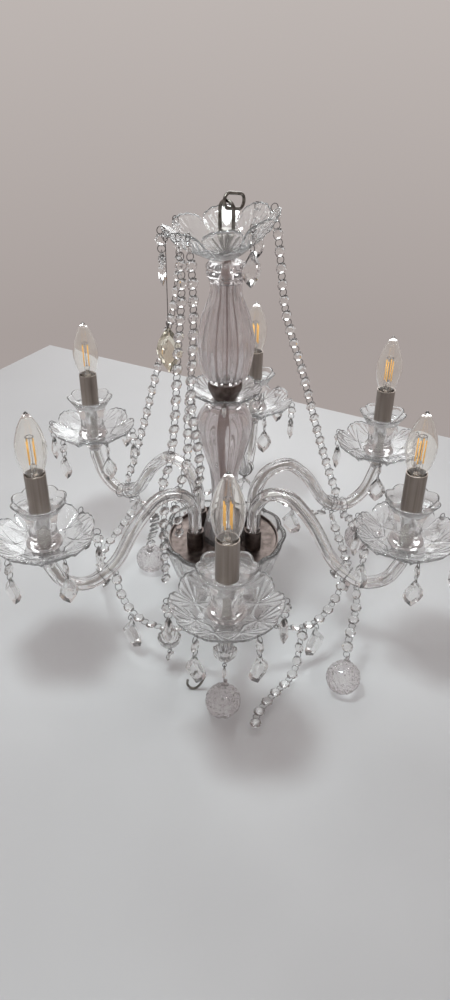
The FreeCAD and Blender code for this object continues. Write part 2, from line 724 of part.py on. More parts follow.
def bell_pendant(arm, ball_xy):
    """Link, fluted bell, one bead and ball, leaning straight from the arm's low bend to the ball."""
    link = arm_link(arm, PENDANT_RING_R, -1)
    top = link - UP * LINK_R
    ball, neck = resting_ball(ball_xy, top, radial(ARM_ANGLES[arm]))
    up_line = (top - neck).normalize()
    face = up_line.cross(radial(ARM_ANGLES[arm] + 90)).normalize()
    side = face.cross(up_line)
    ring_r = ((top - neck).Length - BELL_LENGTH - 2 * BEAD_HOLE_AT) / 4
    eye = top - up_line * BELL_LENGTH
    bead = eye - up_line * (2 * ring_r + BEAD_HOLE_AT)
    solids = [set_in(solid, top, side, face, up_line) for solid in bell_on_wire()]
    solids.append(ring(eye - up_line * ring_r, ring_r, side))
    solids.append(set_in(BEAD, bead, side, face, up_line))
    solids.append(ring(neck + up_line * ring_r, ring_r, side))
    return solids + [link_ring(arm, link), eased(ball, neck + up_line * ring_r, ring_r, side)]


def ball_pendants():
    return [
        bell_pendant(0, (12.8, -216.7)),
        ball_pendant(1, PENDANT_RING_R, [V(169, -112, 68), V(160, -145, 54)], (155.0, -171.0)),
        ball_pendant(2, PENDANT_RING_R, [V(180, 104, 66)], (199.0, 122.0)),
        ball_pendant(3, PENDANT_RING_R, [V(16, 170, 64)], (6.0, 139.0)),
        ball_pendant(5, BALL_STRING_R, [V(-87, -34, 148), V(-96, 4, 98), V(-105, 33, 64)], (-109.0, 46.0)),
    ]


def oval_pendant():
    """Large crystal on a long wire from the crown's rim."""
    top = crown_rim(OVAL_ANGLE) - UP * RIM_RING_R
    across, out = radial(OVAL_ANGLE + 90), radial(OVAL_ANGLE)
    eye_r, hook_r = 2.2, 4.0
    length = top.z - OVAL_TOP_Z - 2 * hook_r
    rod = Part.makeCylinder(WIRE_R, length - 2 * eye_r, V(0, 0, eye_r - length))
    wire = rod.fuse([ring(V(0, 0, 0), eye_r, V(0, 1, 0)), ring(V(0, 0, -length), eye_r, V(0, 1, 0))])
    hook = top - UP * (length + hook_r)
    solids = [set_in(wire, top, across, out * -1, UP), ring(hook, hook_r, across)]
    return solids + [set_in(OVAL, hook - UP * hook_r, across, out * -1, UP)]


def column_drops():
    solids = [rim_ring(crown_rim(OVAL_ANGLE), OVAL_ANGLE)]
    for angle in CROWN_DROP_ANGLES:
        solids += hung_drop(crown_rim(angle), angle, LEAF)
    for angle in MID_DROP_ANGLES:
        solids.append(rim_ring(mid_rim(angle), angle))
        centre = mid_rim(angle) - UP * (RIM_RING_R + BEAD_HOLE_AT)
        solids.append(set_in(BEAD, centre, radial(angle + 90), radial(angle) * -1, UP))
    return solids


def bobeche_drops():
    solids = []
    for arm, angle in enumerate(ARM_ANGLES):
        for drop_angle in BOBECHE_DROP_ANGLES:
            turned_angle = drop_angle + BOBECHE_TURNS[arm]
            if arm == 2 and turned_angle < -180:
                continue  # this rim hole is empty, next to the chain
            for solid in hung_drop(bobeche_rim(turned_angle), turned_angle, LEAF):
                solids.append(at_arm(solid, angle))
    return solids


def export(name, shape):
    solids = shape if isinstance(shape, list) else [shape]
    for solid in solids:
        if not solid.isValid() or solid.Volume <= 0:
            print("check this solid:", name, solid.isValid(), solid.Volume)
    whole = solids[0] if len(solids) == 1 else Part.makeCompound(solids)
    whole.exportStep(f"parts/{name}.step")


def main():
    os.makedirs("parts", exist_ok=True)
    export("hub_bowl", hub_bowl())
    export("bowl_nut", bowl_nut())
    export("stem_rod", stem_rod())
    export("hub_plate", hub_plate())
    export("arm_cups", [at_arm(arm_cup(), a, SOCKET_R) for a in ARM_ANGLES])
    export("cup_screws", [at_arm(cup_screw(), a, SOCKET_R) for a in ARM_ANGLES])
    export("terminal_block", terminal_block())
    export("lower_baluster", lower_baluster())
    export("mid_dish", mid_dish())
    export("mid_ring", mid_ring())
    export("upper_baluster", upper_baluster())
    export("top_collar", top_collar())
    export("crown_dish", crown_dish())
    export("crown_nut", crown_nut())
    export("hanging_loop", hanging_loop())
    export("hanging_link", hanging_link())
    arm = arm_blank()
    cup = candle_cup()
    sleeve = candle_sleeve()
    lamp = bulb()
    for k, angle in enumerate(ARM_ANGLES):
        export(f"glass_arm_{k + 1}", at_arm(arm, angle, 0.0))
        export(f"bobeche_{k + 1}", at_arm(bobeche(BOBECHE_TURNS[k]), angle))
        export(f"candle_cup_{k + 1}", at_arm(cup, angle))
        export(f"candle_sleeve_{k + 1}", at_arm(sleeve, angle))
        export(f"bulb_{k + 1}", [at_arm(solid, angle) for solid in lamp])
    export("arm_wires", [at_arm(arm_wire(), a, 0.0) for a in ARM_ANGLES])
    export("arm_nipples", [at_arm(nipple(), a) for a in ARM_ANGLES])
    export("lamp_holders", [at_arm(lamp_holder(), a) for a in ARM_ANGLES])
    export("crown_chains", crown_chains())
    for k, pendant in enumerate(ball_pendants()):
        export(f"ball_pendant_{k + 1}", pendant)
    export("oval_pendant", oval_pendant())
    export("lower_swags", lower_swags())
    export("column_drops", column_drops())
    export("bobeche_drops", bobeche_drops())


main()
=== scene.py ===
"""Six-arm crystal candle chandelier on a white table: looks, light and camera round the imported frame.

Blender units are metres, +Z up. Profiles are written in millimetres and scaled by MM.
"""

import math

import bmesh
import bpy
import numpy
from mathutils import Matrix, Vector, noise


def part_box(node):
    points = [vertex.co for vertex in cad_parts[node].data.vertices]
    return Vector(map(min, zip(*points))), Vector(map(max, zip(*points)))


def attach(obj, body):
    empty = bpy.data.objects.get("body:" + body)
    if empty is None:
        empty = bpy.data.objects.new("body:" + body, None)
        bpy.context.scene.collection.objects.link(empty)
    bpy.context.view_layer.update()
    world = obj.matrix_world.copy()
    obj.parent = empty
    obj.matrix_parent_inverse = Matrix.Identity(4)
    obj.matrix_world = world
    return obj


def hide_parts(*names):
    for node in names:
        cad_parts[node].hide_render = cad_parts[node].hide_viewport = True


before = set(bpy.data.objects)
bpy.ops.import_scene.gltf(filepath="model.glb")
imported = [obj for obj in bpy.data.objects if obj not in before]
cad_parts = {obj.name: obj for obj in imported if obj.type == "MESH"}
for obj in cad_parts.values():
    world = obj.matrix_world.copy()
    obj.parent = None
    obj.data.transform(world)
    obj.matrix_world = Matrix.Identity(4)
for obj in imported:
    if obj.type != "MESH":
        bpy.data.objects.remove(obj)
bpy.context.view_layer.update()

scene = bpy.context.scene
MM = 0.001
ARMS = range(1, 7)
GLASS_BOUNCES = 28  # light passes many glass walls one behind the other


def middle_of(node):
    """Centre of a CAD node's box."""
    low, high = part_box(node)
    return (low + high) * 0.5


def arm_angle(k):
    """Direction of an arm, seen from above."""
    candle = middle_of(f"candle_sleeve_{k}")
    return math.atan2(candle.y, candle.x)


# Materials

def blank_material(name):
    material = bpy.data.materials.new(name)
    material.use_nodes = True
    nodes = material.node_tree.nodes
    return material, nodes, material.node_tree.links, nodes["Principled BSDF"]


def add_noise(nodes, links, scale, detail=4.0, stretch=(1, 1, 1)):
    """Noise in the object's own coordinates, stretched per axis."""
    place = nodes.new("ShaderNodeTexCoord")
    mapping = nodes.new("ShaderNodeMapping")
    mapping.inputs["Scale"].default_value = stretch
    texture = nodes.new("ShaderNodeTexNoise")
    texture.inputs["Scale"].default_value = scale
    texture.inputs["Detail"].default_value = detail
    links.new(place.outputs["Object"], mapping.inputs["Vector"])
    links.new(mapping.outputs["Vector"], texture.inputs["Vector"])
    return texture


def add_ramp(nodes, links, source, low, high, start=0.35, end=0.65):
    ramp = nodes.new("ShaderNodeValToRGB")
    ramp.color_ramp.elements[0].position = start
    ramp.color_ramp.elements[1].position = end
    ramp.color_ramp.elements[0].color = (*low, 1)
    ramp.color_ramp.elements[1].color = (*high, 1)
    links.new(source, ramp.inputs["Fac"])
    return ramp


def add_bump(nodes, links, height, strength, distance):
    bump = nodes.new("ShaderNodeBump")
    bump.inputs["Strength"].default_value = strength
    bump.inputs["Distance"].default_value = distance
    links.new(height, bump.inputs["Height"])
    return bump


def glass_material(name, tint, shade, roughness, wave_scale, wave_depth, ior=1.5, haze=0.06,
                   shadow=0.86):
    """Clear glass of two tints, with a moulded ripple, a little haze and a light shadow."""
    material, nodes, links, shader = blank_material(name)
    drift = add_noise(nodes, links, 35.0, 2.0)
    colour = add_ramp(nodes, links, drift.outputs["Fac"], shade, tint)
    links.new(colour.outputs["Color"], shader.inputs["Base Color"])
    ripple = add_noise(nodes, links, wave_scale, 3.0)
    bump = add_bump(nodes, links, ripple.outputs["Fac"], 0.6, wave_depth)
    links.new(bump.outputs["Normal"], shader.inputs["Normal"])
    shader.inputs["Roughness"].default_value = roughness
    shader.inputs["IOR"].default_value = ior
    shader.inputs["Transmission Weight"].default_value = 1 - haze
    path = nodes.new("ShaderNodeLightPath")
    clear = nodes.new("ShaderNodeBsdfTransparent")
    clear.inputs["Color"].default_value = (shadow, shadow * 0.985, shadow * 0.99, 1)
    mix = nodes.new("ShaderNodeMixShader")
    links.new(path.outputs["Is Shadow Ray"], mix.inputs["Fac"])
    links.new(shader.outputs["BSDF"], mix.inputs[1])
    links.new(clear.outputs["BSDF"], mix.inputs[2])
    links.new(mix.outputs["Shader"], nodes["Material Output"].inputs["Surface"])
    return material


def frosted_material(name):
    """Ground glass in the bottom of a cut."""
    return glass_material(name, (1.0, 0.995, 0.99), (0.99, 0.98, 0.975), 0.25, 400.0, 0.0001,
                          haze=0.9, shadow=0.5)


def crackle_material(name):
    """Clear glass shot through with fine cracks."""
    material = glass_material(name, (0.94, 0.915, 0.915), (0.87, 0.835, 0.835), 0.03, 120.0, 0.0002,
                              haze=0.12, shadow=0.6)
    nodes, links = material.node_tree.nodes, material.node_tree.links
    shader = nodes["Principled BSDF"]
    place = nodes.new("ShaderNodeTexCoord")
    cracks = nodes.new("ShaderNodeTexVoronoi")
    cracks.feature = "DISTANCE_TO_EDGE"
    cracks.inputs["Scale"].default_value = 150.0
    links.new(place.outputs["Object"], cracks.inputs["Vector"])
    edge = add_ramp(nodes, links, cracks.outputs["Distance"], (0, 0, 0), (1, 1, 1), 0.0, 0.12)
    bump = add_bump(nodes, links, edge.outputs["Color"], 0.9, 0.0006)
    links.new(bump.outputs["Normal"], shader.inputs["Normal"])
    return material


def brushed_material(name, dark, light, roughness, stretch, grain=260.0):
    """Plated metal with a fine grain along one direction and a slight change of colour."""
    material, nodes, links, shader = blank_material(name)
    streaks = add_noise(nodes, links, grain, 6.0, stretch)
    colour = add_ramp(nodes, links, streaks.outputs["Fac"], dark, light, 0.3, 0.7)
    links.new(colour.outputs["Color"], shader.inputs["Base Color"])
    rough = nodes.new("ShaderNodeMapRange")
    rough.inputs["To Min"].default_value = roughness * 0.75
    rough.inputs["To Max"].default_value = roughness * 1.35
    links.new(streaks.outputs["Fac"], rough.inputs["Value"])
    links.new(rough.outputs["Result"], shader.inputs["Roughness"])
    bump = add_bump(nodes, links, streaks.outputs["Fac"], 0.25, 0.0001)
    links.new(bump.outputs["Normal"], shader.inputs["Normal"])
    shader.inputs["Metallic"].default_value = 1.0
    return material


def plastic_material(name, dark, light, roughness):
    """Moulded plastic with a faint grain."""
    material, nodes, links, shader = blank_material(name)
    grain = add_noise(nodes, links, 400.0, 5.0)
    colour = add_ramp(nodes, links, grain.outputs["Fac"], dark, light)
    links.new(colour.outputs["Color"], shader.inputs["Base Color"])
    bump = add_bump(nodes, links, grain.outputs["Fac"], 0.15, 0.0001)
    links.new(bump.outputs["Normal"], shader.inputs["Normal"])
    shader.inputs["Roughness"].default_value = roughness
    return material


def filament_material(name):
    """Yellow phosphor coating of an unlit lamp's filaments, with a faint painted glow."""
    material, nodes, links, shader = blank_material(name)
    grain = add_noise(nodes, links, 900.0, 3.0)
    colour = add_ramp(nodes, links, grain.outputs["Fac"], (0.85, 0.42, 0.06), (1.0, 0.62, 0.16))
    links.new(colour.outputs["Color"], shader.inputs["Base Color"])
    # painted glow: the unlit filaments give off a little light in their own yellow colour
    links.new(colour.outputs["Color"], shader.inputs["Emission Color"])
    shader.inputs["Emission Strength"].default_value = 0.25
    shader.inputs["Roughness"].default_value = 0.7
    return material


MOULDED = glass_material("moulded_glass", (0.995, 0.995, 0.99), (0.975, 0.97, 0.965), 0.015, 90.0, 0.0003,
                         haze=0.08, shadow=0.42)
# painted reflection: these darker purplish tints stand in for the warm wall seen through the fluted
# balusters and collar
FLUTED = glass_material("fluted_glass", (0.95, 0.935, 0.935), (0.86, 0.815, 0.815), 0.03, 45.0, 0.0008,
                        haze=0.12, shadow=0.6)
ARM_GLASS = glass_material("arm_glass", (0.995, 0.99, 0.985), (0.97, 0.965, 0.965), 0.02, 60.0, 0.0003,
                           shadow=0.72)
CUT = glass_material("cut_glass", (0.998, 0.998, 0.998), (0.98, 0.978, 0.978), 0.01, 110.0, 0.0001,
                     haze=0.10, shadow=0.28)
CRYSTAL = glass_material("crystal", (0.99, 0.99, 0.98), (0.955, 0.95, 0.945), 0.005, 200.0, 0.00005, 1.60,
                         haze=0.02, shadow=0.6)
AMBER = glass_material("amber_crystal", (0.95, 0.91, 0.80), (0.86, 0.79, 0.62), 0.01, 120.0, 0.00005, 1.54)
LAMP_GLASS = glass_material("lamp_glass", (1.0, 0.99, 0.97), (0.985, 0.975, 0.95), 0.0, 20.0, 0.00005, 1.45,
                            haze=0.02, shadow=0.92)
CRACKLE = crackle_material("crackle_glass")
FROSTED = frosted_material("frosted_cut")
NICKEL_BROWN = brushed_material("brushed_nickel", (0.24, 0.20, 0.175), (0.38, 0.335, 0.30), 0.34,
                                (1, 1, 0.03))
DARK_METAL = brushed_material("dark_metal", (0.06, 0.045, 0.04), (0.22, 0.18, 0.165), 0.38, (1, 1, 1),
                              120.0)
WIRE = brushed_material("wire", (0.07, 0.065, 0.065), (0.26, 0.25, 0.245), 0.3, (1, 1, 1), 500.0)
NICKEL = brushed_material("nickel", (0.45, 0.43, 0.40), (0.66, 0.64, 0.61), 0.2, (1, 1, 1), 200.0)
ZINC = brushed_material("zinc_rod", (0.30, 0.21, 0.19), (0.46, 0.36, 0.33), 0.35, (1, 1, 40), 60.0)
DULL_NICKEL = brushed_material("dull_nickel", (0.08, 0.07, 0.06), (0.32, 0.30, 0.27), 0.36, (1, 1, 1),
                               150.0)
WHITE_PLASTIC = plastic_material("white_plastic", (0.80, 0.80, 0.78), (0.88, 0.88, 0.86), 0.45)
FLEX = plastic_material("clear_flex", (0.62, 0.60, 0.57), (0.80, 0.78, 0.75), 0.25)
FILAMENT = filament_material("filament")


# Mesh tools

def finish_piece(bm, name, material, body, replaced=(), smooth=True):
    """Turns a bmesh into a piece that rides on a body and stands for CAD nodes."""
    bmesh.ops.recalc_face_normals(bm, faces=bm.faces)
    mesh = bpy.data.meshes.new(name)
    bm.to_mesh(mesh)
    bm.free()
    mesh.polygons.foreach_set("use_smooth", [smooth] * len(mesh.polygons))
    mesh.materials.append(material)
    piece = bpy.data.objects.new(name, mesh)
    scene.collection.objects.link(piece)
    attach(piece, body)
    if replaced:
        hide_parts(*replaced)
    return piece


def skin_rings(bm, rings, closed):
    """Faces between rings of points.

    A ring of one point is a pole, and closed joins the last ring to the first.
    """
    verts = [[bm.verts.new(p) for p in ring] for ring in rings]
    pairs = list(zip(verts, verts[1:]))
    if closed:
        pairs.append((verts[-1], verts[0]))
    for a, b in pairs:
        count = max(len(a), len(b))
        if count == 1:
            continue
        for i in range(count):
            j = (i + 1) % count
            if len(a) == 1:
                bm.faces.new((a[0], b[i], b[j]))
            elif len(b) == 1:
                bm.faces.new((a[i], a[j], b[0]))
            else:
                bm.faces.new((a[i], a[j], b[j], b[i]))


def spline_value(a, b, c, d, t):
    """Catmull-Rom value between b and c."""
    square, cube = 2 * a - 5 * b + 4 * c - d, 3 * b - a - 3 * c + d
    return 0.5 * (2 * b + (c - a) * t + square * t * t + cube * t**3)


def curve_through(points, steps=6):
    """Smooth curve through (r, z) points."""
    ends = [points[0]] + list(points) + [points[-1]]
    curve = []
    for p0, p1, p2, p3 in zip(ends, ends[1:], ends[2:], ends[3:]):
        for s in range(steps):
            curve.append(tuple(spline_value(a, b, c, d, s / steps) for a, b, c, d in zip(p0, p1, p2, p3)))
    return curve + [points[-1]]


def lathe_rings(profile, centre, segments, shape=None, turn=0.0):
    """Rings of a turned form, from a profile in mm; shape(theta, r, z) may move each point."""
    rings = []
    for r, z in profile:
        if r < 1e-6:
            rings.append([Vector((centre.x, centre.y, z * MM))])
            continue
        ring = []
        for i in range(segments):
            theta = math.tau * i / segments
            rr, zz = shape(theta, r, z) if shape else (r, z)
            angle = theta + turn
            x, y = centre.x + rr * MM * math.cos(angle), centre.y + rr * MM * math.sin(angle)
            ring.append(Vector((x, y, zz * MM)))
        rings.append(ring)
    return rings


def lathe(bm, profile, centre=Vector(), segments=96, shape=None, turn=0.0, closed=True):
    skin_rings(bm, lathe_rings(profile, centre, segments, shape, turn), closed)


def flutes(count, depth):
    """Rounded lobes with sharp valleys: how far in the surface is, from 0 on a crest to depth."""
    return lambda theta: depth * (1 - abs(math.cos(count * theta / 2)))


# Scalloped dishes: the bobeches, the crown and the middle dish

def segment_distance(x, y, ax, ay, bx, by):
    """How far (x, y) is from the segment between (ax, ay) and (bx, by)."""
    dx, dy = bx - ax, by - ay
    t = max(0.0, min(1.0, ((x - ax) * dx + (y - ay) * dy) / (dx * dx + dy * dy)))
    return math.hypot(x - ax - t * dx, y - ay - t * dy)


def scalloped_dish(name, node, centre, turn, rim_r, rim_z, foot_z, material, thickness=3.2, bore=5.3,
                   lobes=8, scallop=0.14, fan_depth=0.8, fan_ribs=9, fan_at=0.5, cross_depth=0.0, wave=3.0,
                   place=None):
    """Dish of shell-shaped lobes with fans of grooves.

    fan_at is 0 for a fan in the middle of a lobe and 0.5 for one where two lobes meet.
    """
    lobe_angle = math.tau / lobes
    root_r = 0.56 * rim_r
    fan_spread = math.radians(82)
    around, outward = lobes * 36, 46

    def lobe(theta):
        """1 at a lobe's middle and 0 in the valley between two."""
        local = (theta + lobe_angle / 2) % lobe_angle - lobe_angle / 2
        return math.sqrt(max(0.0, 1 - (abs(local) / (lobe_angle / 2)) ** 2.2))

    def cut_depth(r, theta):
        from_fan = (theta - (fan_at - 0.5) * lobe_angle) % lobe_angle - lobe_angle / 2
        x, y = r * math.cos(from_fan) - root_r, r * math.sin(from_fan)
        spread, reach = math.atan2(y, x), math.hypot(x, y)
        depth = 0.0
        if abs(spread) < fan_spread:
            fade = min(1.0, reach / (0.10 * rim_r))
            depth = fan_depth * fade * (1 - abs(math.cos(spread * fan_ribs * math.pi / (2 * fan_spread))))
        if cross_depth:
            arm = 0.24 * rim_r
            for side in (-1, 1):
                near = segment_distance(x, y, -arm, side * arm, arm, -side * arm)
                depth = max(depth, cross_depth * max(0.0, 1 - near / 1.3))
        return depth

    def surface(t, theta, upper):
        full = lobe(theta)
        crinkle = 0.014 * (1 - abs(math.cos(2.5 * lobes * theta)))
        reach = rim_r * (1 - scallop * (1 - full) - crinkle)
        r = bore + (reach - bore) * t
        rise = max(0.0, (r - 14.0) / (rim_r - 14.0))
        z = foot_z + (rim_z - foot_z) * (0.55 * rise + 0.45 * rise**2)
        z += wave * (full - 0.65) * t**3
        wall = thickness * (1.45 - 0.75 * t) + 1.1 * math.exp(-((1 - t) / 0.035) ** 2)
        if upper:
            return r, z + wall * 0.5
        return r, z - wall * 0.5 + cut_depth(r, theta)

    rings = []
    for upper in (True, False):
        steps = range(outward + 1) if upper else range(outward, -1, -1)
        for i in steps:
            ring = []
            for j in range(around):
                theta = math.tau * j / around
                r, z = surface(i / outward, theta, upper)
                ring.append(Vector((
                    centre.x + r * MM * math.cos(theta + turn),
                    centre.y + r * MM * math.sin(theta + turn),
                    (z + thickness * 0.72) * MM,
                )))
            rings.append(ring)
    bm = bmesh.new()
    skin_rings(bm, rings, True)
    deepest = max(fan_depth, cross_depth)
    for face in bm.faces:
        middle = face.calc_center_median() - Vector((centre.x, centre.y, 0))
        r = math.hypot(middle.x, middle.y) / MM
        theta = math.atan2(middle.y, middle.x) - turn
        if face.normal.z < 0 and cut_depth(r, theta) > 0.45 * deepest:
            face.material_index = 1
    if place:
        bm.transform(place)
    piece = finish_piece(bm, name, material, "frame", [node])
    piece.data.materials.append(FROSTED)
    return piece


CROWN_SEAT = Vector((0, 0, 466)) * MM
CROWN_LIFT = Vector((0, 0, 2.2)) * MM
CROWN_TILT = math.radians(-8.5)
CROWN_TURN = math.radians(-86)


def make_dishes():
    for k in ARMS:
        scalloped_dish(f"bobeche_{k}_cut", f"bobeche_{k}", middle_of(f"candle_sleeve_{k}"), arm_angle(k),
                       60.0, 188.5, 168.6, CUT, scallop=0.16, fan_depth=0.9, cross_depth=1.5, wave=6.0)
    askew = (Matrix.Translation(CROWN_SEAT + CROWN_LIFT) @ Matrix.Rotation(CROWN_TILT, 4, "Y")
             @ Matrix.Translation(-CROWN_SEAT))
    scalloped_dish("crown_dish_cut", "crown_dish", Vector(), CROWN_TURN, 64.0, 505.0, 467.0, MOULDED,
                   bore=6.6, fan_depth=1.0, fan_at=0.0, wave=4.0, place=askew)
    scalloped_dish("mid_dish_cut", "mid_dish", Vector(), 0.1, 43.5, 315.0, 299.8, CUT, thickness=3.0,
                   scallop=0.10, fan_depth=0.9, fan_ribs=7, fan_at=0.0)


# Column

def make_baluster(node, outline, bore, count, depth, turn=0.0):
    """Blown body with flutes that fade out at both ends, hollow and smooth inside."""
    end, wall = 6.0, 1.8
    low, high = outline[0][1], outline[-1][1]
    groove = flutes(count, depth)

    def shape(theta, r, z):
        if r <= bore + 0.01:
            return r, z
        ends = min(1.0, (z - low) / 10.0, (high - z) / 10.0)
        return r * (1 - groove(theta) * max(0.0, ends)), z

    profile = curve_through(outline, 8)
    hollow = [(max(bore, r * (1 - depth) - wall), z)
              for r, z in reversed(profile) if low + end < z < high - end]
    outer = [(bore, low)] + profile + [(bore, high)]
    inner = [(bore, high - end)] + hollow + [(bore, low + end)]
    outside = lathe_rings(outer, Vector(), count * 12, shape, turn)
    inside = lathe_rings(inner, Vector(), count * 12, None, turn)
    bm = bmesh.new()
    skin_rings(bm, outside + inside, True)
    finish_piece(bm, node + "_fluted", FLUTED, "frame", [node])


def make_column():
    make_baluster("lower_baluster",
                  [(26, 98), (28.6, 104), (24, 128), (16.5, 160), (18.5, 201), (27, 232), (35, 268),
                   (30, 287), (22, 296), (21, 299)], 5.3, 12, 0.10)
    make_baluster("upper_baluster",
                  [(19, 326), (22, 330), (28.5, 340), (33, 360), (33.6, 378), (28, 405), (20, 426),
                   (18, 438), (19.5, 447), (21.5, 451)], 5.3, 20, 0.11, 0.1)

    collar = flutes(16, 0.05)
    bm = bmesh.new()
    bulge = curve_through([(20, 451.2), (22.3, 453.5), (22.5, 458), (22.3, 462), (19, 466)], 4)
    lathe(bm, [(5.3, 451.2)] + bulge + [(5.3, 466)], segments=128,
          shape=lambda theta, r, z: (r * (1 - collar(theta)) if r > 6 and z > 457 else r, z))
    finish_piece(bm, "top_collar_fluted", FLUTED, "frame", ["top_collar"])

    lobed = flutes(12, 0.045)
    outer = curve_through([(42, 0), (44, 2), (58, 26), (72, 64), (84, 107)], 6)
    inner = curve_through([(79, 107), (67, 66), (53, 29), (37, 10)], 6)
    bm = bmesh.new()

    def bowl_shape(theta, r, z):
        return r * (1 - lobed(theta) * min(1.0, z / 40.0)) if r > 30 else r, max(z, 0.0)

    lathe(bm, outer + inner + [(5.3, 10), (5.3, 8), (18, 8), (18, 0)], segments=192, shape=bowl_shape)
    finish_piece(bm, "hub_bowl_lobed", MOULDED, "frame", ["hub_bowl"])


# Arms and candles

ARM_CORNERS = [(43.5, 104), (43.5, 158), (60, 187), (93, 193), (125, 164), (156, 113), (194, 95),
               (226, 113), (240, 148), (240, 160)]
ARM_RADIUS = 8.5
DUCT_RADIUS = 2.4


def rounded_line(corners, steps=12):
    """Points along the corners' polyline, with each corner rounded off."""
    points = [Vector(c) for c in corners]
    line = [points[0]]
    for before, corner, after in zip(points, points[1:], points[2:]):
        cut = 0.45 * min((corner - before).length, (after - corner).length)
        start = corner - (corner - before).normalized() * cut
        end = corner + (after - corner).normalized() * cut
        for s in range(steps + 1):
            t = s / steps
            line.append(start * (1 - t) ** 2 + corner * 2 * t * (1 - t) + end * t * t)
    return line + [points[-1]]


def arm_rings(angle, radius_at, segments):
    """Rings of a tube along an arm's line; radius_at(turn round the tube, share of its length) is in mm."""
    line = rounded_line(ARM_CORNERS)
    out = Vector((math.cos(angle), math.sin(angle), 0))
    side = Vector((-math.sin(angle), math.cos(angle), 0))
    up = Vector((0, 0, 1))
    rings = []
    for i, point in enumerate(line):
        step = line[min(i + 1, len(line) - 1)] - line[max(i - 1, 0)]
        step.normalize()
        across = up * step.x - out * step.y
        middle = out * point.x + up * point.y
        share = i / (len(line) - 1)
        ring = []
        for j in range(segments):
            phi = math.tau * j / segments
            r = radius_at(phi, share)
            ring.append((middle + across * (r * math.cos(phi)) + side * (r * math.sin(phi))) * MM)
        rings.append(ring)
    return rings


def make_arm(k):
    angle = arm_angle(k)
    ribs = flutes(8, 0.09)
    twist = 1.1

    def outer(phi, share):
        worn = min(1.0, share * 12, (1 - share) * 20)
        return ARM_RADIUS * (1 - ribs(phi + twist * share) * worn)

    bm = bmesh.new()
    rings = arm_rings(angle, outer, 80)
    bore = arm_rings(angle, lambda phi, share: DUCT_RADIUS, 80)
    skin_rings(bm, rings + bore[::-1], True)
    finish_piece(bm, f"glass_arm_{k}_ribbed", ARM_GLASS, "frame", [f"glass_arm_{k}"])

    petals = flutes(8, 0.12)
    bm = bmesh.new()
    profile = [(5.2, 161)] + curve_through([(8.2, 153), (9.6, 155), (12, 159), (16.2, 163), (17, 166)], 4)
    lathe(bm, profile + [(16.5, 168), (5.2, 168)], middle_of(f"candle_sleeve_{k}"), 96,
          lambda theta, r, z: (r * (1 - petals(theta) * (r > 9)), z), angle)
    finish_piece(bm, f"glass_arm_{k}_pan", ARM_GLASS, "frame", [f"glass_arm_{k}"])


def make_candle_cup(k):
    """Wide-mouthed cup with a lobed rim, a faceted waist and a spread foot."""
    outer = curve_through([(13, 174), (19, 176.5), (21, 179), (17.3, 187), (16.5, 200), (19, 214),
                           (25, 226), (32, 236)], 6)
    inner = curve_through([(29.8, 236), (23, 228.5), (16.5, 223.5), (13.2, 222.4)], 6)
    lobes, facets = flutes(8, 0.09), flutes(12, 0.06)

    def shape(theta, r, z):
        if r < 13.0:
            return r, z
        rim = max(0.0, (z - 214) / 22.0)
        waist = max(0.0, 1 - abs(z - 198) / 16.0)
        narrow = lobes(theta) * rim + facets(theta) * waist
        return r * (1 - narrow), z - 1.6 * rim * lobes(theta) / 0.09

    bm = bmesh.new()
    lathe(bm, outer + inner + [(5.3, 222.4), (5.3, 174)], middle_of(f"candle_sleeve_{k}"), 160, shape,
          arm_angle(k))
    finish_piece(bm, f"candle_cup_{k}_lobed", MOULDED, "frame", [f"candle_cup_{k}"])


def make_bulb(k):
    """Thin candle envelope, four filaments on their wires, a glass stem and a threaded cap."""
    centre = middle_of(f"candle_sleeve_{k}")
    body, node = f"bulb_{k}_body", f"bulb_{k}"
    outer = curve_through([(6.8, 264), (9.0, 269), (14, 281), (17.2, 298), (16, 311), (11.5, 326),
                           (5.5, 338), (2.0, 343)], 8) + [(1.0, 344.2), (0, 344.5)]
    inner = [(0, 341.5)] + [(r - 0.7, z) for r, z in reversed(outer[:-10])]
    bm = bmesh.new()
    lathe(bm, outer + inner, centre, 48)
    finish_piece(bm, f"bulb_{k}_envelope", LAMP_GLASS, body, [node])

    bm = bmesh.new()
    lathe(bm, [(0, 264)] + curve_through([(5.6, 264), (4.0, 268), (2.2, 276), (1.8, 282)], 4) + [(0, 283)],
          centre, 24, closed=False)
    finish_piece(bm, f"bulb_{k}_stem", LAMP_GLASS, body, [node])

    sticks, wires = bmesh.new(), bmesh.new()
    for q in range(4):
        turn = math.tau * (q + 0.5) / 4 + 0.25
        foot = centre + Vector((math.cos(turn), math.sin(turn), 0)) * 4.6 * MM
        lathe(sticks, [(0, 282.5), (0.8, 283.2), (0.8, 310.8), (0, 311.5)], foot, 10, closed=False)
        lathe(wires, [(0, 274), (0.2, 274.2), (0.2, 282.6), (0, 282.7)], foot, 6, closed=False)
        lathe(wires, [(0, 311.3), (0.2, 311.5), (0.2, 314.8), (0, 315)], foot, 6, closed=False)
    lathe(wires, [(3.4, 314.8), (4.8, 314.8), (4.8, 315.1), (3.4, 315.1)], centre, 24)
    lathe(wires, [(0, 281), (0.3, 281.2), (0.3, 314.8), (0, 315)], centre, 8, closed=False)
    finish_piece(sticks, f"bulb_{k}_filaments", FILAMENT, body, [node])
    finish_piece(wires, f"bulb_{k}_wires", WIRE, body, [node])

    thread = [(6.3 + 0.6 * abs(math.sin(math.pi * s / 4)), 241 + 20 * s / 28) for s in range(29)]
    bm = bmesh.new()
    lathe(bm, [(0, 238), (3, 238)] + thread + [(6.9, 263.6), (0, 263.6)], centre, 48, closed=False)
    finish_piece(bm, f"bulb_{k}_cap", NICKEL, body, [node])


# Crystals and wires

